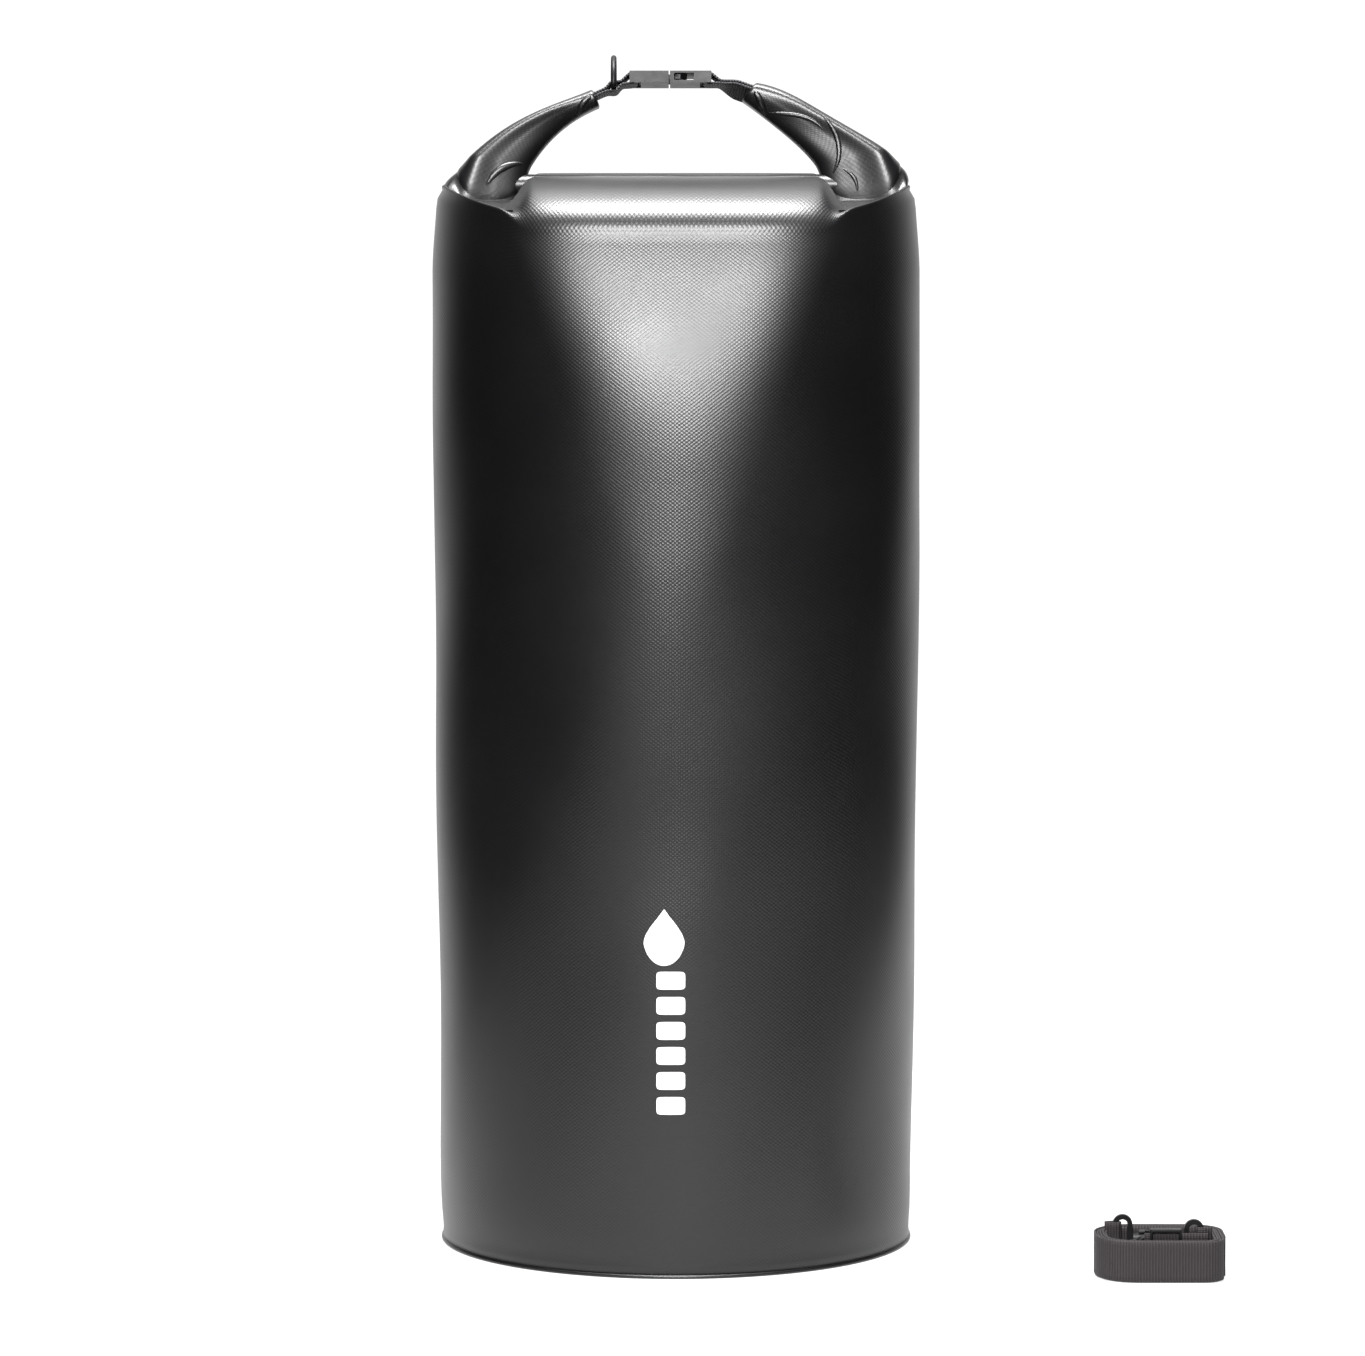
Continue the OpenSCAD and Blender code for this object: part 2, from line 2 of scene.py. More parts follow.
# # A roll-top storage bag, its carry loop and its coiled shoulder strap
# The imported model gives every size and place, so the first step loads it and bakes each part's place into
# its mesh.
# All lengths below are written in millimetres, as a maker would measure them, and are turned to
# metres only when a mesh is made.

# %% Load the frame
import math
import bmesh
import bpy
import numpy as np
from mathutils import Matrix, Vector


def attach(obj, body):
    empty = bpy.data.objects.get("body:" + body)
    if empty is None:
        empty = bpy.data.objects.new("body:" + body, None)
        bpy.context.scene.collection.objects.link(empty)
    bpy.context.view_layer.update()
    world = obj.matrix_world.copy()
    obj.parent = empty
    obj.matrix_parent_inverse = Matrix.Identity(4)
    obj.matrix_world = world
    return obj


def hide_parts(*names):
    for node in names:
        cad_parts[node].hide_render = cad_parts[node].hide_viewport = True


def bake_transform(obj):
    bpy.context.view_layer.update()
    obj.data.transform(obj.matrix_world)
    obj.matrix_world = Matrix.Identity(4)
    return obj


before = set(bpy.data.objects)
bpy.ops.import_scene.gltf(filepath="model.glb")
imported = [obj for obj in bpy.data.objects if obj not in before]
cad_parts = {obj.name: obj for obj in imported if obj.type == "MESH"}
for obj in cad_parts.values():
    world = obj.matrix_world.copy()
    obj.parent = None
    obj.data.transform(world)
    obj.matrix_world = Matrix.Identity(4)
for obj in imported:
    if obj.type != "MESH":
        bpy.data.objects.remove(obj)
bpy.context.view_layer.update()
MM = 0.001

# %% [markdown]
# The camera comes first. The bag was seen from about four metres, a little above its top, with a
# long lens, which is why its sides stay nearly parallel.

# %% Camera
EYE = Vector((0.004, -4.0, 0.735))
AIM = Vector((0.004, 0.0, 0.350))
camera_data = bpy.data.cameras.new("camera")
camera_data.sensor_width = 36
camera_data.lens = 171
camera = bpy.data.objects.new("camera", camera_data)
camera.location = EYE
camera.rotation_euler = (AIM - EYE).to_track_quat("-Z", "Y").to_euler()
bpy.context.scene.collection.objects.link(camera)
bpy.context.scene.camera = camera
print("camera", tuple(round(c, 3) for c in EYE))

# %% [markdown]
# Every new piece is a sheet of points worked out with numpy: a grid that runs one way along the
# piece and the other way round it. One helper joins the grid into four-sided faces. It merges the
# doubled points at poles and turns the faces outwards, and it stores a UV map in metres, so that a
# weave has its true size on every piece.

# %% Grid to mesh
def surface(name, grid, uv=None, closed_u=False, closed_v=False, thick=0.0):
    """Joins grid[i, j], in mm, to its next points: face = (i, j), (i+1, j), (i+1, j+1), (i, j+1)."""
    nu, nv = grid.shape[:2]
    i, j = np.meshgrid(np.arange(nu - (not closed_u)), np.arange(nv - (not closed_v)), indexing="ij")
    i, j = i.ravel(), j.ravel()
    corners = [(i, j), (i + 1, j), (i + 1, j + 1), (i, j + 1)]
    faces = np.stack([(a % nu) * nv + b % nv for a, b in corners], axis=1)
    mesh = bpy.data.meshes.new(name)
    mesh.from_pydata((grid.reshape(-1, 3) * MM).tolist(), [], faces.tolist())
    if uv is not None:
        loops = np.stack([uv[a, b] for a, b in corners], axis=1) * MM
        mesh.uv_layers.new(name="UVMap").data.foreach_set("uv", loops.astype(np.float32).ravel())
    bm = bmesh.new()
    bm.from_mesh(mesh)
    bmesh.ops.remove_doubles(bm, verts=bm.verts, dist=1e-6)
    bmesh.ops.dissolve_degenerate(bm, edges=bm.edges, dist=1e-7)
    bmesh.ops.recalc_face_normals(bm, faces=bm.faces)
    bm.to_mesh(mesh)
    bm.free()
    mesh.shade_smooth()
    obj = bpy.data.objects.new(name, mesh)
    bpy.context.scene.collection.objects.link(obj)
    if thick:
        wall = obj.modifiers.new("thickness", "SOLIDIFY")
        wall.thickness = thick * MM
        wall.offset = -1.0
    return obj


def lengths_uv(grid, closed_u=False, closed_v=False):
    """UV in mm: the arc length along each row and each column, summed from its first point."""
    full = grid
    if closed_u:
        full = np.concatenate([full, full[:1]], axis=0)
    if closed_v:
        full = np.concatenate([full, full[:, :1]], axis=1)
    du = np.linalg.norm(np.diff(full, axis=0), axis=2).mean(axis=1)
    dv = np.linalg.norm(np.diff(full, axis=1), axis=2).mean(axis=0)
    u, v = np.concatenate([[0], du.cumsum()]), np.concatenate([[0], dv.cumsum()])
    return np.stack(np.meshgrid(u, v, indexing="ij"), axis=2)


def ease(t):
    """Smooth step: 0 below 0, 1 above 1, and 3t^2 - 2t^3 between."""
    t = np.clip(t, 0, 1)
    return t * t * (3 - 2 * t)


# %% [markdown]
# Materials are node trees. One small function adds a node with its settings and links, and one
# function turns a web colour into the linear light that Cycles works in.

# %% Node and colour helpers
def linear(code):
    """sRGB hex to linear: c / 12.92 below 0.04045, otherwise ((c + 0.055) / 1.055) ** 2.4."""
    c = np.array([int(code[k:k + 2], 16) for k in (1, 3, 5)]) / 255
    return (*np.where(c <= 0.04045, c / 12.92, ((c + 0.055) / 1.055) ** 2.4).tolist(), 1.0)


def plug(tree, node, inputs):
    """Fills a node's sockets: an output socket is linked in, and any other value is stored."""
    for key, value in inputs.items():
        if isinstance(value, bpy.types.NodeSocket):
            tree.links.new(value, node.inputs[key])
        else:
            node.inputs[key].default_value = value


def add(tree, kind, inputs=None, **settings):
    """Adds one node with its settings, and fills its sockets from inputs."""
    made = tree.nodes.new(kind)
    for key, value in settings.items():
        setattr(made, key, value)
    plug(tree, made, inputs or {})
    return made


def maths(tree, operation, a, b=0.0):
    """One operation on a and b, each a number or a socket."""
    return add(tree, "ShaderNodeMath", {0: a, 1: b}, operation=operation).outputs[0]


def start(name):
    """A new material with its Principled shader, whose output is already linked."""
    material = bpy.data.materials.new(name)
    material.use_nodes = True
    return material, material.node_tree, material.node_tree.nodes["Principled BSDF"]


def ripple(tree, coordinate, period):
    """sin(2 pi x / period): one thread or rib every period, in mm."""
    return maths(tree, "SINE", maths(tree, "MULTIPLY", coordinate, 2 * math.pi / (period * MM)))


def from_zero(tree, wave):
    """Brings a wave of -1 to 1 to the range 0 to 1: wave / 2 + 1 / 2."""
    return maths(tree, "ADD", maths(tree, "MULTIPLY", wave, 0.5), 0.5)


def place(tree, kind):
    """A coordinate in metres: "UV" along the piece's own surface, or "Object" in space."""
    return add(tree, "ShaderNodeTexCoord").outputs[kind]


def noise(tree, where, scale, detail):
    """Noise with that many cells in a metre."""
    return add(tree, "ShaderNodeTexNoise", {"Vector": where, "Scale": scale, "Detail": detail}).outputs[0]


def worn_gloss(tree, wear, low, high):
    """Roughness from low to high as the noise goes from 0.3 to 0.7."""
    return add(tree, "ShaderNodeMapRange", {0: wear, 1: 0.3, 2: 0.7, 3: low, 4: high}).outputs[0]


def mixed(tree, share, low, high):
    """The colour that lies share of the way from low to high."""
    colours = {0: share, 6: linear(low), 7: linear(high)}
    return add(tree, "ShaderNodeMix", colours, data_type="RGBA").outputs[2]


def relief(tree, height, strength, depth):
    """A bump of height times depth, in mm."""
    sockets = {"Height": height, "Strength": strength, "Distance": depth * MM}
    return add(tree, "ShaderNodeBump", sockets).outputs[0]


# %% [markdown]
# The bag is polyester cloth of plain weave, coated on both sides with plasticised PVC. The coating
# follows the threads, so a highlight breaks into rows of small dots. The real threads are about a
# millimetre apart, finer than the render can show, so the weave is drawn two to three times coarser.
# A slow noise varies the gloss, as handling does.

# %% PVC-coated plain weave
THREAD_U, THREAD_V = 2.9, 2.3


def coated_weave(name, colour, rough, depth=0.18):
    """Height: half sin(2 pi u / THREAD_U) sin(2 pi v / THREAD_V), and half a fine noise."""
    material, tree, shader = start(name)
    axes = add(tree, "ShaderNodeSeparateXYZ", {0: place(tree, "UV")}).outputs
    threads = maths(tree, "MULTIPLY", ripple(tree, axes[0], THREAD_U), ripple(tree, axes[1], THREAD_V))
    space = place(tree, "Object")
    handled = noise(tree, space, 9.0, 5.0)
    fine = maths(tree, "MULTIPLY", noise(tree, space, 900.0, 2.0), 0.5)
    height = maths(tree, "ADD", maths(tree, "MULTIPLY", threads, 0.5), fine)
    # The colour is painted darker between the threads (#060607) and lighter on their crowns: painted shade and
    # a painted highlight that follow the weave.
    plug(tree, shader, {"Base Color": mixed(tree, from_zero(tree, threads), "#060607", colour),
        "Roughness": worn_gloss(tree, handled, rough - 0.03, rough + 0.04),
        "Normal": relief(tree, height, 0.45, depth), "IOR": 1.53})
    return material


pvc_cloth = coated_weave("pvc_coated_plain_weave", "#0b0b0d", 0.37)
# The cloth on the folded pieces is painted a shade darker than the wall's (#0a0a0c against #0b0b0d): painted
# shade on the folds, with a shallower weave bump.
pvc_fold_painted_darker = coated_weave("pvc_coated_weave_in_folds_painted_darker", "#0a0a0c", 0.36, 0.045)
print("cloth", pvc_cloth.name, pvc_fold_painted_darker.name)

# %% [markdown]
# Webbing is woven in ribs that cross it. The two on the buckle are smooth black polyester. The shoulder strap
# is coarser polypropylene, whose ribs catch the light on their crowns and look brownish grey; on both webbings
# that light is painted into the colour, lighter with the height of each rib: a painted highlight on the crowns
# and painted shade between them.

# %% Ribbed webbing
def ribbed(name, low, high, rib, rough):
    """Height: ribs across the webbing, an eighth as much of its yarns, and a third of fuzz."""
    material, tree, shader = start(name)
    axes = add(tree, "ShaderNodeSeparateXYZ", {0: place(tree, "UV")}).outputs
    ribs = from_zero(tree, ripple(tree, axes[0], rib))
    yarn = maths(tree, "ADD", maths(tree, "MULTIPLY", ripple(tree, axes[1], 1.3), 0.12), ribs)
    fuzz = noise(tree, place(tree, "Object"), 700.0, 3.0)
    height = maths(tree, "ADD", yarn, maths(tree, "MULTIPLY", fuzz, 0.35))
    # Colour lighter with height: a painted highlight on the rib crowns and painted shade in the grooves.
    plug(tree, shader, {"Base Color": mixed(tree, maths(tree, "MULTIPLY", height, 0.75), low, high),
        "Roughness": rough, "Normal": relief(tree, height, 0.8, 0.45), "IOR": 1.5})
    return material


polyester = ribbed("ribbed_polyester_webbing", "#0d0c0e", "#2a282c", 1.8, 0.62)
polypropylene = ribbed("ribbed_polypropylene_webbing", "#090708", "#2b2426", 1.8, 0.72)
print("webbing", polyester.name, polypropylene.name)

# %% [markdown]
# The buckle, rings, slider and hooks are acetal, moulded in a spark-eroded tool that leaves a fine
# grain. It is drawn 0.4 mm across, coarser than it is, so that it shows close to. The stiffener is
# extruded polyethylene with faint draw lines, and the print is a thin white ink.

# %% Moulded, extruded and printed finishes
def grained(name, dark, light, rough, stretch=(1.0, 1.0, 1.0), scale=2500.0, depth=0.006, specular=0.5):
    """A fine grain, with a slower noise that varies the colour and the gloss."""
    material, tree, shader = start(name)
    space = add(tree, "ShaderNodeMapping", {"Vector": place(tree, "Object"), "Scale": stretch}).outputs[0]
    grain = noise(tree, space, scale, 3.0)
    worn = noise(tree, space, 120.0, 4.0)
    plug(tree, shader, {"Base Color": mixed(tree, worn, dark, light),
        "Roughness": worn_gloss(tree, worn, rough - 0.02, rough + 0.03),
        "Normal": relief(tree, grain, 0.5, depth), "IOR": 1.48, "Specular IOR Level": specular})
    return material


acetal = grained("moulded_black_acetal", "#0a0a0c", "#111113", 0.42, depth=0.003, specular=0.22)
polyethylene = grained("extruded_polyethylene_strip", "#242427", "#303034", 0.48, (0.02, 1.0, 1.0))
ink = grained("white_screen_print_ink", "#e9e9ea", "#f8f8f8", 0.5, scale=900.0)
print("plastics", acetal.name, polyethylene.name, ink.name)

# %% [markdown]
# The studio is a white sweep: a matt floor, a wide overhead light, a box over the bag's top, a small
# soft box in front and a bright backdrop. The backdrop lights only the bag's edges, and the room on
# the camera's side is dark, so the small box gives the black cloth its one tall soft highlight.

# %% Floor, backdrop light and lamps
paper, paper_tree, paper_shader = start("matt_white_paper")
plug(paper_tree, paper_shader, {"Base Color": linear("#909090"), "Roughness": 0.9,
    "Specular IOR Level": 0.1, "Emission Color": linear("#f4f4f4"), "Emission Strength": 0.84})
FLOOR_Z, FLOOR_POINTS = -0.05, 9
floor_x, floor_y = np.meshgrid(np.linspace(-700, 900, FLOOR_POINTS),
    np.linspace(-1100, 1500, FLOOR_POINTS), indexing="ij")
floor = surface("floor", np.stack([floor_x, floor_y, np.full_like(floor_x, FLOOR_Z)], axis=2))
floor.data.materials.append(paper)

world = bpy.data.worlds.new("white_sweep")
world.use_nodes = True
tree = world.node_tree
tree.nodes.clear()
direction = add(tree, "ShaderNodeSeparateXYZ", {0: place(tree, "Generated")}).outputs
behind = add(tree, "ShaderNodeMapRange", {0: direction[1], 1: 0.62, 2: 0.99, 3: 0.006, 4: 1.3},
    interpolation_type="SMOOTHSTEP")
seen = add(tree, "ShaderNodeLightPath").outputs["Is Camera Ray"]
level = add(tree, "ShaderNodeMix", {0: seen, 2: behind.outputs[0], 3: 1.1})
glow = add(tree, "ShaderNodeBackground", {0: (1.0, 1.0, 1.0, 1.0), 1: level.outputs[0]})
add(tree, "ShaderNodeOutputWorld", {0: glow.outputs[0]})
bpy.context.scene.world = world
bpy.context.scene.view_settings.view_transform = "Standard"


def lamp(name, spot, aim, size, watts):
    """A rectangular lamp of that size in metres, at spot and turned towards aim."""
    data = bpy.data.lights.new(name, "AREA")
    data.shape = "RECTANGLE"
    data.size, data.size_y = size
    data.energy = watts
    made = bpy.data.objects.new(name, data)
    made.location = spot
    made.rotation_euler = (Vector(aim) - Vector(spot)).to_track_quat("-Z", "Y").to_euler()
    bpy.context.scene.collection.objects.link(made)


lamp("overhead", (0.0, 0.5, 2.4), (0.0, 0.2, 0.0), (2.0, 1.6), 46)
lamp("top_box", (0.0, -0.25, 1.9), (0.0, 0.0, 0.66), (0.85, 0.5), 80)
lamp("soft_box", (-0.02, -2.5, 1.36), (0.0, 0.0, 0.6), (0.3, 0.5), 104)
print("studio ready")

# %% [markdown]
# ## The bag's body
# The cloth tube tapers a little to its welded base. Near the top the front and back are drawn in
# towards the roll, which flattens a triangle with a ridge down each side. Above it the cloth turns
# over in a soft shoulder, and only near the two side corners does it fold to a sharp crease. One
# function gives a point of the wall, and the print, the seam and the patch all lie on it.

# %% Shape of the wall
BAG_R, BASE_R, WELT, TAPER, SHOULDER = 150.0, 146.0, 2.4, 430.0, 628.0
ROLL_Z, LEAN = 654.0, math.radians(7)
CREASE_X, CREASE_Z, CORNER_RISE = 103.0, 643.0, 12.0
TOP_R = 148.0


def corner_draw(z):
    """How far the wall rounds inwards just under its two upper corners."""
    return 5 * ease((z - 641) / 15) ** 2


def wall_radius(z):
    """Linear from base to taper, less a small tuck over the weld and a slight draw at the top."""
    z = np.asarray(z, float)
    taper = np.clip((z - WELT) / (TAPER - WELT), 0, 1)
    tuck = 1.3 * np.exp(-np.abs(z - 9) / 7)
    draw = 3 * ease((z - 600) / 55)
    return BASE_R + (BAG_R - BASE_R) * taper - tuck - draw - corner_draw(z)


def wall_point(azimuth, z):
    """(R sin a, -R cos a, z), with y moved part of the way to the chord between the two ridges."""
    azimuth, z = np.broadcast_arrays(np.asarray(azimuth, float), np.asarray(z, float))
    slack = 0.9 * np.sin(3 * azimuth + z / 70) * np.sin(z / 95) + 0.5 * np.sin(7 * azimuth - z / 38)
    r = wall_radius(z) + slack * ease(z / 60) * ease((620 - z) / 120)
    x, y = r * np.sin(azimuth), r * np.cos(azimuth)
    ridge = CREASE_X * np.clip((z - 385) / 258, 0, 1) ** 0.8
    chord = np.sqrt(np.maximum(r ** 2 - ridge ** 2, 0))
    inside = np.clip(1 - (x / np.maximum(ridge, 1e-6)) ** 2, 0, 1) ** 0.6
    flat = (0.16 + 0.5 * ease((z - 490) / 125)) * inside
    y = np.sign(y) * (np.abs(y) - flat * np.maximum(np.abs(y) - chord, 0))
    return np.stack([x, -y, z], axis=-1)


def rim_height(x, reach):
    """The crease climbs from its end to the corner: z = z0 + rise ((x - x0) / reach)^1.2."""
    return CREASE_Z + CORNER_RISE * np.clip((x - CREASE_X) / reach, 0, 1) ** 1.2


def leaned(points):
    """Turns points by the carry loop's lean about the X axis through the roll's middle."""
    y, z = points[..., 1], points[..., 2] - ROLL_Z
    return np.stack([points[..., 0], y * math.cos(LEAN) + z * math.sin(LEAN),
        z * math.cos(LEAN) - y * math.sin(LEAN) + ROLL_Z], axis=-1)


# %% [markdown]
# The shell goes up the wall, over the shoulder and down into the channel where the roll lies. It is a
# single grid, so no joint shows at the shoulder. The top's height mixes two profiles: a round hump in
# the middle, and a tight two-millimetre turn along each crease.

# %% Bag shell
def bag_shell(columns=224, wall_rows=104, top_rows=46):
    """Rings up the wall, then over the top to the neck: middle * hump + (1 - middle) * crease."""
    azimuth = np.linspace(0, 2 * math.pi, columns, endpoint=False)
    across = np.abs(TOP_R * np.sin(azimuth))
    middle = 1 - ease((across - 88) / 19)
    rim = rim_height(across, 44)
    foot = middle * SHOULDER + (1 - middle) * (rim - 2)
    share = np.linspace(0, 1, wall_rows)
    z = WELT * 0.4 + (foot[:, None] - WELT * 0.4) * share[None, :]
    wall = wall_point(azimuth[:, None], z)
    top = wall[:, -1]
    reach = np.abs(top[:, 1])
    inner = np.minimum(1.6, reach * 0.3)
    d = (reach - inner)[:, None] * (np.linspace(0, 1, top_rows + 1)[1:] ** 1.8)[None, :]
    y = reach[:, None] - d
    x = np.broadcast_to(top[:, 0][:, None], y.shape)
    swell = 33 - 17 * ease((np.abs(x) - 84) / 34)
    hump = SHOULDER + swell * np.sqrt(1 - (1 - np.clip(d / 60, 0, 1)) ** 2)
    hump = CREASE_Z + (hump - CREASE_Z) * np.where(y < 55, ease((y - 17) / 38), 1)
    bead = np.sqrt(np.maximum(4 - (2 - np.minimum(d, 2)) ** 2, 0))
    fold = rim[:, None] - 2 + bead - 3 * ease((d - 2) / 8)
    drop = 1 - ease((across - 122) / 18)
    fold = fold + (646 - fold) * ease(d / np.maximum(reach[:, None], 1)) * drop[:, None]
    height = middle[:, None] * hump + (1 - middle[:, None]) * fold
    upper = np.stack([x, np.sign(top[:, 1])[:, None] * y, height], axis=2)
    lip = 3.5 * (1 - ease((across - 100) / 20))
    neck = upper[:, -1:] + np.stack([0 * across, 0 * across, lip], axis=1)[:, None]
    return np.concatenate([wall, upper, neck], axis=1)


shell_grid = bag_shell()
shell = surface("bag_shell", shell_grid, lengths_uv(shell_grid, closed_u=True), closed_u=True, thick=1.2)
print("bag shell", len(shell.data.polygons), "faces")

# %% [markdown]
# A helper ends each piece: it sets the material, binds the piece to its body and hides the solids it stands
# for.

# %% Bind the bag shell
def finish_piece(obj, body, material, slot_name, *nodes):
    """Gives a piece its material and body, and hides the solids it stands for. slot_name is not used."""
    obj.data.materials.clear()
    obj.data.materials.append(material)
    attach(obj, body)
    if nodes:
        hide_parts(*nodes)


finish_piece(shell, "bag", pvc_cloth, "coated_fabric", "bag_tube", "front_top_fold", "rear_top_fold",
    "mouth_neck")

# %% [markdown]
# The base is a disc of the same cloth, welded inside the wall, with a thin bead of weld round the
# foot. The disc is lifted a little in the middle, because the bag stands on its rim.

# %% Base panel and weld bead
def turned(profile, columns):
    """Carries a profile of (radius, height) round the Z axis."""
    angle = np.linspace(0, 2 * math.pi, columns, endpoint=False)[:, None]
    r, z = profile[:, 0][None, :], profile[:, 1][None, :]
    return np.stack([r * np.sin(angle), -r * np.cos(angle), z + 0 * angle], axis=2)


DISC_R = 144.0
reach = np.concatenate([np.linspace(0, 138, 24), np.linspace(140, 143.9, 6)])
disc = np.stack([reach, 0.25 + 1.6 * (1 - (reach / DISC_R) ** 2)], axis=1)
rise = np.linspace(2.4, 22, 8)
disc = np.concatenate([disc, np.stack([DISC_R + 0.009 * rise, rise], axis=1)])
base_grid = turned(disc, 160)
base = surface("base_disc", base_grid, lengths_uv(base_grid, closed_u=True), closed_u=True, thick=0.9)
finish_piece(base, "bag", pvc_cloth, "coated_fabric", "base_panel")

turn = np.linspace(0, 2 * math.pi, 12, endpoint=False)
bead = np.stack([145.2 + 1.15 * np.cos(turn), 1.25 + 1.2 * np.sin(turn)], axis=1)
bead_grid = turned(bead, 200)
welt = surface("weld_bead", bead_grid, lengths_uv(bead_grid, True, True), closed_u=True, closed_v=True)
finish_piece(welt, "bag", pvc_fold_painted_darker, "coated_fabric", "base_welt")
print("base and bead made")

# %% [markdown]
# The tube is closed by an overlap welded down the back. A hot tool presses it flat, so it is a low
# band with soft edges that follows the wall.

# %% Back seam
def band_on_wall(a0, a1, z0, z1, lift, columns, rows):
    """The wall's own points over a stretch of it, moved out by lift and back down at its two side edges."""
    azimuth = np.linspace(a0, a1, columns)[:, None]
    z = np.linspace(z0, z1, rows)[None, :]
    grid = wall_point(azimuth, z)
    edge = np.abs(np.linspace(-1, 1, columns))[:, None] * np.ones(rows)
    raised = lift * (1 - ease((edge - 0.86) / 0.14)) - 0.25 * ease((edge - 0.9) / 0.1)
    out = np.stack([np.sin(azimuth) * np.ones(rows), -np.cos(azimuth) * np.ones(rows),
        np.zeros_like(raised)], axis=2)
    return grid + out * raised[:, :, None]


SEAM = math.pi - math.radians(38)
half_seam = 12 / BAG_R
seam_grid = band_on_wall(SEAM - half_seam, SEAM + half_seam, 7, 624, 0.75, 17, 120)
seam = surface("back_weld_overlap", seam_grid, lengths_uv(seam_grid))
finish_piece(seam, "bag", pvc_fold_painted_darker, "coated_fabric", "back_seam")
print("seam made")

# %% [markdown]
# Low on the back a welded patch spreads the load of the lower ring. Its corners are round, and its
# outline comes from a superellipse, so one grid from the middle outwards draws it.

# %% Ring patch
def disc_grid(half_w, half_h, power, rings, spokes=72):
    """Superellipse: (w r |cos|^p, h r |sin|^p) with the signs kept, for r from 0 to 1."""
    r = np.linspace(0, 1, rings)[:, None]
    angle = np.linspace(0, 2 * math.pi, spokes, endpoint=False)[None, :]
    c, s = np.cos(angle), np.sin(angle)
    x = half_w * r * np.sign(c) * np.abs(c) ** power
    z = half_h * r * np.sign(s) * np.abs(s) ** power
    return x, z, r + 0 * angle


def on_wall(x, z, lift, back=False):
    """Puts flat (x, z) on the wall's front or back, lift mm off it."""
    azimuth = np.arcsin(np.clip(x / wall_radius(z), -1, 1))
    azimuth = math.pi - azimuth if back else azimuth
    grid = wall_point(azimuth, z)
    grid[..., 0] += lift * np.sin(azimuth)
    grid[..., 1] -= lift * np.cos(azimuth)
    return grid


px, pz, pr = disc_grid(31, 27, 0.35, rings=16)
patch_lift = 1.0 * (1 - ease((pr - 0.93) / 0.07)) - 0.2 * (pr > 0.99)
patch_grid = on_wall(px, pz + 96, patch_lift, back=True)
patch = surface("ring_patch_cloth", patch_grid, lengths_uv(patch_grid, closed_v=True), closed_v=True)
finish_piece(patch, "bag", pvc_fold_painted_darker, "coated_fabric", "ring_patch")
print("patch made")

# %% [markdown]
# ## Webbing on the buckle and rings
# Each length of webbing is one strip that goes out, turns round a bar and comes back on itself. Its
# path is worked out flat, and then carried across its 25 mm width. Where a ring's bar passes between
# the two layers they bulge apart.

# %% Doubled webbing
def hairpin(length, bar_r, bulges=(), gap=0.8, points=60):
    """Out along +h(l), round a half circle of bar_r, and back along -h(l), for l from length to 0."""
    l = np.linspace(length, 0, points)
    h = gap + (bar_r - gap) * (1 - ease(l / 9)) if bar_r > gap else np.full_like(l, gap)
    for at, r in bulges:
        h = np.maximum(h, gap + (r - gap) * np.exp(-((l - at) / 3.4) ** 2))
    bend = np.linspace(math.pi / 2, -math.pi / 2, 17)[1:-1]
    u = np.concatenate([-l, bar_r * np.cos(bend), -l[::-1]])
    v = np.concatenate([h, bar_r * np.sin(bend), -h[::-1]])
    return u, v


def strip(points, cross, width, rows=15):
    """Carries a path of 3-D points across the width, along the direction cross."""
    w = np.linspace(-width / 2, width / 2, rows)
    return points[:, None, :] + w[None, :, None] * np.asarray(cross)[None, None, :]


def webbing(name, grid, body, material, slot_name, nodes, thick=1.4):
    obj = surface(name, grid, lengths_uv(grid), thick=thick)
    obj.modifiers["thickness"].offset = 0.0
    soft = obj.modifiers.new("edges", "BEVEL")
    soft.width, soft.segments, soft.limit_method = 0.3 * MM, 1, "ANGLE"
    finish_piece(obj, body, material, slot_name, *nodes)


WEB = 25.0
TIP, BUCKLE_Z, PLUG_X, SOCKET_X, RING_X = (53.1, 707.8), 719.8, -26.5, 19.7, -38.3
BAR_R, RING_BAR_R, WEB_SLOPE = 3.15, 2.95, 12 / 26.6


def web_axes(side, bar_x):
    """The bar's middle, its distance from the end's tip, the unit vector that way and its normal."""
    tip_x, tip_z = side * TIP[0], TIP[1]
    run = math.hypot(bar_x - tip_x, BUCKLE_Z - tip_z)
    along = np.array([bar_x - tip_x, 0, BUCKLE_Z - tip_z]) / run
    return np.array([bar_x, 0, BUCKLE_Z]), run, along, np.array([-along[2], 0, along[0]])


def buckle_webbing(name, side, bar_x, body, nodes, bulges, twist):
    """The strip runs from inside the roll's end to the bar; its width turns by twist degrees on the way."""
    bar, run, along, normal = web_axes(side, bar_x)
    u, v = hairpin(run + 14, BAR_R, bulges)
    points = bar + u[:, None] * along + v[:, None] * normal
    tilt = math.radians(twist) * ease((-u - 6) / 14)[:, None]
    cross = np.cos(tilt) * np.array([0, 1, 0]) + np.sin(tilt) * normal
    w = np.linspace(-WEB / 2 + 0.2, WEB / 2 - 0.2, 15)
    grid = leaned(points[:, None] + w[None, :, None] * cross[:, None])
    webbing(name, grid, body, polyester, "webbing", nodes)


left_run = math.hypot(RING_X - PLUG_X, (PLUG_X - RING_X) * WEB_SLOPE)
ring_bulge = [(left_run, RING_BAR_R)]
buckle_webbing("left_webbing_strip", -1, PLUG_X, "left_end", ["left_webbing"], ring_bulge, 0)
buckle_webbing("right_webbing_strip", 1, SOCKET_X, "right_end", ["right_webbing"], [], 17)

# %% [markdown]
# The tab that carries the lower ring is the same webbing, hung from the patch and turned round the
# ring's bar.

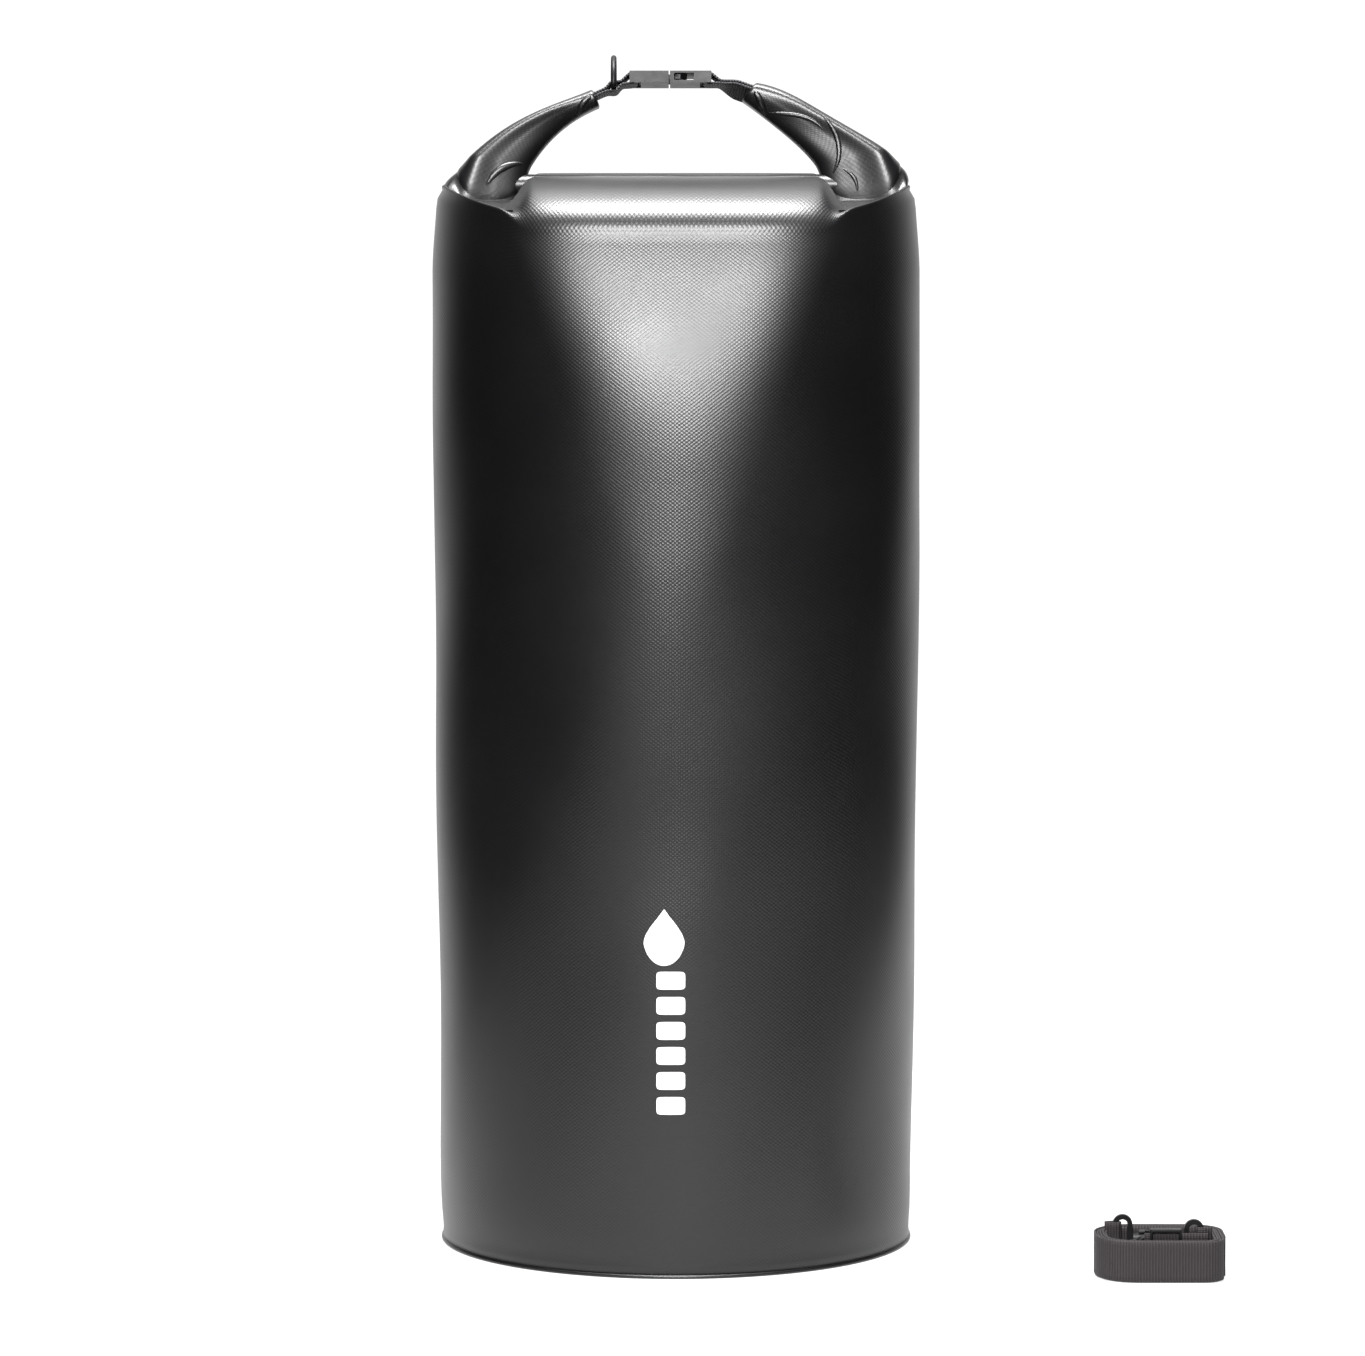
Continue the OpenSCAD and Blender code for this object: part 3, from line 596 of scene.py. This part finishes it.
# %% Lower ring tab
TAB_Y, TAB_Z = 151.94, 95.0
u, v = hairpin(24, 2.9)
tab_points = np.stack([0 * u, TAB_Y + v - 2.3 * ease(-u / 9), TAB_Z - u], axis=1)
tab_grid = strip(tab_points, (1, 0, 0), WEB)
webbing("ring_tab_strip", tab_grid, "bag", polyester, "webbing", ["ring_tab"])

# %% [markdown]
# A bar tack is a dense row of zigzag stitches. It is drawn as a low patch whose height is a fast
# ripple, so the stitches are real relief and not only shading.

# %% Bar tacks
TACK_W, TACK_D = 11, 1.6


def bar_tack(name, centre, along, normal, body):
    """height = 0.35 |sin| of the stitch count across the width, and falls to nothing at the edges."""
    across = np.linspace(-TACK_W, TACK_W, 133)[:, None]
    depth = np.linspace(-TACK_D, TACK_D, 9)[None, :]
    shape = (1 - (np.abs(depth) / TACK_D) ** 4) * (1 - (np.abs(across) / TACK_W) ** 12)
    h = (0.12 + 0.35 * np.abs(np.sin(across * 2.9 + depth * 0.5))) * shape - 0.1
    grid = (np.asarray(centre) + across[..., None] * np.array([0, 1, 0])
        + depth[..., None] * np.asarray(along) + h[..., None] * np.asarray(normal))
    obj = surface(name, leaned(grid), lengths_uv(grid))
    finish_piece(obj, body, polyester, "webbing")


for tack, side, bar_x, body, back in (("left_bar_tack", -1, PLUG_X, "left_end", 22),
        ("right_bar_tack", 1, SOCKET_X, "right_end", 12)):
    bar, _, along, normal = web_axes(side, bar_x)
    normal = normal * (1 if along[0] > 0 else -1)
    bar_tack(tack, bar - along * back + normal * 1.55, along, normal, body)
print("bar tacks made")

# %% [markdown]
# ## The rolled mouth
# The mouth is flattened and rolled down three or four times, so its section is a flat spiral. The
# outline is a stadium whose radius falls by one cloth thickness in a turn, and the step where it
# closes is the lap's edge.

# %% Mouth roll
def stadium(w, t, count):
    """Points by arc length round a slot shape w wide (Y) and t thick (Z), and their outward normals."""
    flat, r = w - t, t / 2
    total = 2 * flat + 2 * math.pi * r
    q = np.arange(count) / count * total
    a = np.clip((q - flat) / r, 0, math.pi)
    b = np.clip((q - 2 * flat - math.pi * r) / r, 0, math.pi)
    y = np.where(q < flat, q - flat / 2, np.where(q < flat + math.pi * r, flat / 2 + r * np.sin(a),
        np.where(q < 2 * flat + math.pi * r, flat / 2 - (q - flat - math.pi * r), -flat / 2 - r * np.sin(b))))
    z = np.where(q < flat, -r, np.where(q < flat + math.pi * r, -r * np.cos(a),
        np.where(q < 2 * flat + math.pi * r, r, r * np.cos(b))))
    ny = y - np.clip(y, -flat / 2, flat / 2)
    norm = np.maximum(np.hypot(ny, z), 1e-6)
    return np.stack([y, z], 1), np.stack([ny / norm, z / norm], 1), q / total


ROLL_W, ROLL_T, ROLL_POINTS, ROLL_ROWS = 28, 14, 96, 90
outline, outward, share = stadium(ROLL_W, ROLL_T, ROLL_POINTS)
x = np.linspace(-118, 118, ROLL_ROWS)
ends = 1 - 0.35 * ease((np.abs(x) - 100) / 18)
sag = 0.35 * np.sin(x / 17) + 0.25 * np.sin(x / 6.3)
section = outline[None] * ends[:, None, None] - outward[None] * (1.3 * ((share + 0.62) % 1))[None, :, None]
section = section + outward[None] * (sag[:, None] * np.sin(share * 2 * math.pi)[None, :])[..., None] * 0.6
length = np.broadcast_to(x[:, None, None], (ROLL_ROWS, ROLL_POINTS, 1))
roll_grid = np.concatenate([length, section + np.array([0, ROLL_Z])], axis=2)
caps = np.repeat(roll_grid[[0, -1]].mean(axis=1, keepdims=True), ROLL_POINTS, axis=1)
roll_grid = leaned(np.concatenate([caps[:1], roll_grid, caps[1:]]))
roll = surface("mouth_roll_cloth", roll_grid, lengths_uv(roll_grid, closed_v=True), closed_v=True)
finish_piece(roll, "closure", pvc_fold_painted_darker, "coated_fabric", "mouth_roll")
print("roll made")

# %% [markdown]
# ## The two turned-up ends
# Beyond the bag's sides the roll folds up towards the buckle and makes the carry loop. Each end is a
# loft between two outlines, an outer and an inner edge, with a depth that narrows quickly from the
# bag to the tip. The front and back faces are hollow, where the cloth is tucked in.

# %% Shape of a turned-up end
LEFT = dict(side=-1,
    outer=[(-146, 653), (-139.5, 658), (-128, 670), (-118, 680), (-107, 687), (-94, 695), (-79, 701.6),
        (-69, 706.6), (-52, 712.5)],
    inner=[(-97, 650), (-93, 660), (-86, 670.7), (-79, 680.3), (-70.7, 688.4), (-62, 694.6), (-47.5, 702.5)],
    dent=0.14)
RIGHT = dict(side=1,
    outer=[(146, 653), (143.8, 661), (133, 672), (113.5, 685), (93, 697.8), (78, 706), (59, 714.6), (50, 717)],
    inner=[(94, 650), (88, 662.3), (85.6, 669.8), (76.3, 676.7), (68.2, 685.4), (55.8, 694.7),
        (47.7, 701.6), (41, 706)],
    dent=0.2)


def along_outline(points, s):
    """A smooth curve through an outline: a fourth-degree fit of x and z against its own length."""
    points = np.array(points, float)
    run = np.concatenate([[0], np.linalg.norm(np.diff(points, axis=0), axis=1).cumsum()])
    return np.stack([np.polyval(np.polyfit(run / run[-1], points[:, k], 4), s) for k in (0, 1)], axis=-1)


def end_section(shape, s, angle, grow):
    """middle + half * sgn(c)|c|^0.85, y = -w(s) (0.95 + wedge c) sgn(t)|t|^0.5, faces hollowed by dent."""
    s, angle = s[:, None], angle[None, :]
    outer, inner = along_outline(shape["outer"], s), along_outline(shape["inner"], s)
    c, t = np.cos(angle), np.sin(angle)
    half = (outer - inner) / 2
    hollow = 1 - shape["dent"] * ease((1 - s) / 0.6) * np.abs(t) ** 4
    wedge = 0.28 * (1 - 0.75 * ease((s - 0.72) / 0.28))
    width = (13.6 + 12 * (1 - s) ** 2) * (0.95 + wedge * c) + grow
    scale = 1 + grow / np.maximum(np.linalg.norm(half, axis=-1), 1)
    xz = (outer + inner) / 2 + half * (np.sign(c) * np.abs(c) ** 0.85 * scale)[..., None]
    return np.stack([xz[..., 0], -width * np.sign(t) * np.abs(t) ** 0.5 * hollow, xz[..., 1]], axis=-1)


RIM_X, RIM_Y, INNER_X = 143.6, 144, 92
RIM_TURN = math.asin(108 / TOP_R)


def crease_ring(side, angle):
    """Corner to crease end along the rim, then inwards over the top to the end's inner edge."""
    quarter = np.abs(np.arctan2(np.abs(np.sin(angle)), np.cos(angle))) / (math.pi / 2)
    turn, past = np.clip(quarter, 0, 1) * RIM_TURN, np.clip(quarter - 1, 0, 1)
    corner = 1 - ease(quarter / 0.32)
    x, y = (RIM_X + 3 * corner) * np.cos(turn), (RIM_Y + 2.6 * corner) * np.sin(turn)
    x = x - corner_draw(rim_height(x, 43)) * np.cos(turn)
    z = rim_height(x, 43 - 5 * corner) - 1.2 + 1.6 * corner
    y = -np.sign(np.sin(angle)) * y * (1 - past) ** 1.2
    return np.stack([side * (x + (INNER_X - x) * past), y, z + 3 * past], axis=1)


ANGLES = np.linspace(0, 2 * math.pi, 144, endpoint=False)
CUFF, START, BEND_X = 0.28, 0.11, 0.12


def end_loft(shape, v, grow):
    """Crease ring to end section: inwards first, then upwards on the faces, with q = v / cuff."""
    q = np.clip(v / CUFF, 0, 1)[:, None]
    inwards = ease(q / 0.4)
    face = np.abs(np.sin(ANGLES))[None, :] ** 0.7
    upwards = inwards * (1 - face) + ease((q - 0.28) / 0.6) * face
    ring = np.broadcast_to(crease_ring(shape["side"], ANGLES), (len(v), len(ANGLES), 3)).copy()
    ring[..., 2] -= inwards * face * np.maximum(ring[..., 2] - (CREASE_Z - 3), 0)
    section = end_section(shape, v, ANGLES, grow[:, None])
    level = leaned(section)
    blend = np.stack(np.broadcast_arrays(inwards, inwards, upwards), axis=2)
    return ring * (1 - blend) + level * blend


def closed_end(grid, sink):
    """Three smaller rings towards the last ring's middle, sunk by sink along the way it was going."""
    tip, step = grid[-1].mean(axis=0), (grid[-1] - grid[-4]).mean(axis=0)
    step = step / np.linalg.norm(step)
    rings = ((0.86, 0.7), (0.6, 0.2), (0.0, -sink))
    return np.array([tip + (grid[-1] - tip) * k + step * b for k, b in rings])


def cloth_end(name, shape, v, grow, nodes=()):
    """One closed length of an end's loft, given its material; the solids it stands for are hidden. Returns its
    grid.
    """
    grid = end_loft(shape, v, grow)
    grid = np.concatenate([grid, closed_end(grid, 3.0)])
    obj = surface(name, grid, lengths_uv(grid, closed_v=True), closed_v=True)
    obj.data.materials.append(pvc_fold_painted_darker)
    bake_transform(obj)
    if nodes:
        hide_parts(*nodes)
    return grid


# %% [markdown]
# Each end is two pieces: a cuff along the crease, under the roll, and the end itself, which starts inside the
# cuff so that no hole opens between them.

# %% Cuffs and ends
faces = {}
for shape, word in ((LEFT, "left"), (RIGHT, "right")):
    x = BEND_X * shape["side"]
    v = np.linspace(0, CUFF, 56)
    grow = 0.4 - 1.2 * ease((v - 0.06) / 0.08)
    cloth_end(word + "_cuff", shape, v, grow)
    v = np.concatenate([np.linspace(START, 0.97, 76), [0.985, 1.0]])
    grow = 0.2 - 1.8 * (1 - ease((v - START) / 0.05))
    faces[word] = cloth_end(word + "_turned_end", shape, v, grow,
        [word + "_roll_end"])
print("cuffs and ends made")

# %% [markdown]
# Where the roll's layers end they leave thin raised folds on the faces. Each is a narrow ridge laid
# along a line on the face: its depth is read from the nearest point of that face.

# %% Folds on the ends
def fold_line(name, word, line, radius):
    """A tube of that radius, tapered to nothing at both ends, half sunk in the face along the line."""
    line = np.array(line, float)
    run = np.concatenate([[0], np.linalg.norm(np.diff(line, axis=0), axis=1).cumsum()])
    t = np.linspace(0, 1, 48)
    degree = min(3, len(line) - 1)
    xz = np.stack([np.polyval(np.polyfit(run / run[-1], line[:, k], degree), t) for k in (0, 1)], axis=1)
    front = faces[word][:, 2:ANGLES.size // 2 - 1].reshape(-1, 3)
    near = ((xz[:, None] - front[None, :, [0, 2]]) ** 2).sum(axis=2).argsort(axis=1)[:, :4]
    y = np.convolve(np.pad(front[near, 1].mean(axis=1), 4, mode="edge"), np.ones(9) / 9, mode="valid")
    middle = np.stack([xz[:, 0], y, xz[:, 1]], axis=1)
    along = np.gradient(middle, axis=0)
    along /= np.linalg.norm(along, axis=1, keepdims=True)
    beside = np.cross(along, [0.0, 1.0, 0.0])
    turn = np.linspace(0, 2 * math.pi, 10, endpoint=False)
    size = radius * np.sin(math.pi * np.clip(t, 0.001, 0.999)) ** 0.5
    ring = (beside[:, None] * np.cos(turn)[None, :, None] * 1.5
        + np.array([0, 0.8, 0]) * np.sin(turn)[None, :, None])
    grid = middle[:, None] + ring * size[:, None, None]
    obj = surface(name, grid, lengths_uv(grid, closed_v=True), closed_v=True)
    obj.data.materials.append(pvc_fold_painted_darker)
    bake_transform(obj)


fold_line("right_fold_arc", "right", [(57, 699), (71, 698), (86, 693), (91, 688)], 1.0)
fold_line("right_fold_ridge", "right", [(90, 697), (97, 688), (100, 677), (96, 662)], 1.2)
fold_line("right_fold_low", "right", [(102, 665), (110, 658), (111, 651)], 0.9)
fold_line("right_fold_twist", "right", [(46, 714), (51, 708), (54, 701), (56, 696)], 1.5)
fold_line("left_fold_tip", "left", [(-61, 696), (-59, 702), (-54, 708), (-50, 710)], 1.3)
fold_line("left_fold_tuck", "left", [(-116, 655), (-107, 665), (-94, 668)], 1.6)
print("folds made")

# %% [markdown]
# ## Moulded parts
# The buckle, rings, slider and hooks keep the solids' shapes. A copy of each is merged, its flat faces
# are cleaned, and its edges are rounded by 0.15 to 0.8 mm, as any moulding's are.

# %% Rounded copies
def moulded(node, body, edge):
    """A copy of a solid with its doubled points merged and its edges rounded by edge mm."""
    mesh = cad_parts[node].data.copy()
    bm = bmesh.new()
    bm.from_mesh(mesh)
    bmesh.ops.remove_doubles(bm, verts=bm.verts, dist=2e-6)
    bmesh.ops.dissolve_limit(bm, angle_limit=math.radians(1), verts=bm.verts, edges=bm.edges)
    bm.to_mesh(mesh)
    bm.free()
    obj = bpy.data.objects.new(node + "_moulded", mesh)
    bpy.context.scene.collection.objects.link(obj)
    mesh.shade_smooth()
    mesh.set_sharp_from_angle(angle=math.radians(35))
    rounding = obj.modifiers.new("rounding", "BEVEL")
    rounding.width, rounding.segments = edge * MM, 2
    rounding.limit_method, rounding.angle_limit = "ANGLE", math.radians(50)
    rounding.harden_normals = True
    finish_piece(obj, body, acetal, "moulded_acetal", node)


for node, body, edge in (("buckle_plug", "plug", 0.35), ("front_latch", "front_latch", 0.35),
        ("rear_latch", "rear_latch", 0.35), ("buckle_socket", "socket", 0.35),
        ("top_d_ring", "top_ring", 0.15), ("lower_d_ring", "lower_ring", 0.15),
        ("strap_slider", "slider", 0.8), ("rear_hook_eye", "strap", 0.15),
        ("rear_hook", "rear_hook", 0.15), ("rear_hook_gate", "rear_gate", 0.15),
        ("front_hook_eye", "strap", 0.15), ("front_hook", "front_hook", 0.15),
        ("front_hook_gate", "front_gate", 0.15)):
    moulded(node, body, edge)
for node in ("mouth_strip", "left_strip", "right_strip"):
    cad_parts[node].data.materials.clear()
    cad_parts[node].data.materials.append(polyethylene)
print("moulded parts finished")

# %% [markdown]
# ## The shoulder strap
# The strap is one flat webbing wound on itself five times, on edge. Its path is a slot shape that
# shrinks steadily by one layer in each turn. Each corner has its own radius, because a strap wound by
# hand is never even.

# %% Coiled strap
STRAP = np.array([292.0, -130.0, 0.0])
UP = (0, 0, 1)
COIL_X, COIL_Y, LAYERS, PITCH = 80.0, 63.0, 5, 1.62
CORNERS = (14.0, 20.0, 25.0, 26.0)


def wound(t):
    """Point of the coil after t turns: a rounded rectangle moved in by 0.75 + pitch * t at every side."""
    inset = 0.75 + PITCH * t
    hx, hy = COIL_X / 2 - inset, COIL_Y / 2 - inset
    r = np.array(CORNERS)[:, None] - inset[None, :]
    knots = []
    for k, (cx, cy) in enumerate([(1, -1), (1, 1), (-1, 1), (-1, -1)]):
        for degrees in np.linspace(90 * k - 90, 90 * k, 9):
            c, s = math.cos(math.radians(degrees)), math.sin(math.radians(degrees))
            knots.append(np.stack([cx * (hx - r[k]) + r[k] * c, cy * (hy - r[k]) + r[k] * s], 1))
    ring = np.stack(knots + [knots[0]], axis=1)
    sides = np.linalg.norm(np.diff(ring, axis=1), axis=2)
    run = np.concatenate([np.zeros((len(t), 1)), sides.cumsum(axis=1)], axis=1)
    where = (t % 1)[:, None] * run[:, -1:]
    after = np.clip((run <= where).sum(axis=1), 1, run.shape[1] - 1)
    row = np.arange(len(t))
    last, following = run[row, after - 1], run[row, after]
    share = ((where[:, 0] - last) / np.maximum(following - last, 1e-9))[:, None]
    return ring[row, after - 1] * (1 - share) + ring[row, after] * share


turns_done = np.linspace(0.12, LAYERS - 0.06, 900)
flat_path = wound(turns_done)
coil_path = np.concatenate([flat_path, np.full((len(flat_path), 1), WEB / 2)], axis=1) + STRAP
coil_grid = strip(coil_path, UP, WEB - 0.4, rows=9)
coil_grid[..., 2] += 0.35 * np.sin(turns_done * 2.3)[:, None] + 0.35
webbing("strap_coil_webbing", coil_grid, "strap", polypropylene, "strap_webbing", ["strap_coil"],
    thick=1.35)

# %% [markdown]
# The strap's inner end runs straight through the slider, and its two sewn loops hold the hooks' eyes.

# %% Strap end and sewn loops
RUN_Y, RUN_X0, RUN_X1, RUN_LIFT = -15.4, -10.0, 28.6, 3.0
x = np.linspace(RUN_X0, RUN_X1, 60)
run_path = np.stack([x, np.full_like(x, RUN_Y), np.full_like(x, RUN_LIFT + WEB / 2)], axis=1) + STRAP
webbing("strap_run_webbing", strip(run_path, UP, WEB, rows=9), "strap", polypropylene, "strap_webbing",
    ["strap_run"])

EYE_X, EYE_Z, REAR_Y, FRONT_Y = 27.0, 17.2, 15.0, -2.0
loop_nodes = ["strap_ends"]
for name, side, y in (("rear_strap_loop", -1, REAR_Y), ("front_strap_loop", 1, FRONT_Y)):
    u, v = hairpin(6.2, 3.2, points=24)
    centre = side * (EYE_X - 1.5)
    loop = np.stack([centre - side * u, y + v, np.full_like(u, EYE_Z)], axis=1) + STRAP
    webbing(name, strip(loop, UP, WEB, rows=9), "strap", polypropylene, "strap_webbing", loop_nodes)
    loop_nodes = []

# %% [markdown]
# ## The print
# The bag carries a plain printed mark low on its front: a water drop over a column of bars. It is
# white ink laid 0.15 mm proud of the wall, and each shape is a superellipse or a drop.

# %% Printed mark
def printed(name, x, z, half_w, half_h, power, drop=False):
    """A superellipse; a drop narrows towards its top by 1 - 0.85 t^1.5 of its width."""
    dx, dz, _ = disc_grid(half_w, half_h, power, rings=14)
    if drop:
        dx = dx * (1 - 0.85 * np.clip((dz / half_h + 0.25) / 1.25, 0, 1) ** 1.5)
    grid = on_wall(dx + x, dz + z, 0.15)
    obj = surface(name, grid, lengths_uv(grid, closed_v=True), closed_v=True)
    finish_piece(obj, "bag", ink, "print_ink")


printed("print_drop", -7, 208, 12.5, 17, 1.0, drop=True)
BARS, BAR_TOP, BAR_STEP = 6, 182, 15.2
for k in range(BARS):
    printed(f"print_bar_{k + 1}", -3, BAR_TOP - BAR_STEP * k, 8.6, 5.4, 0.3)
print("print made")
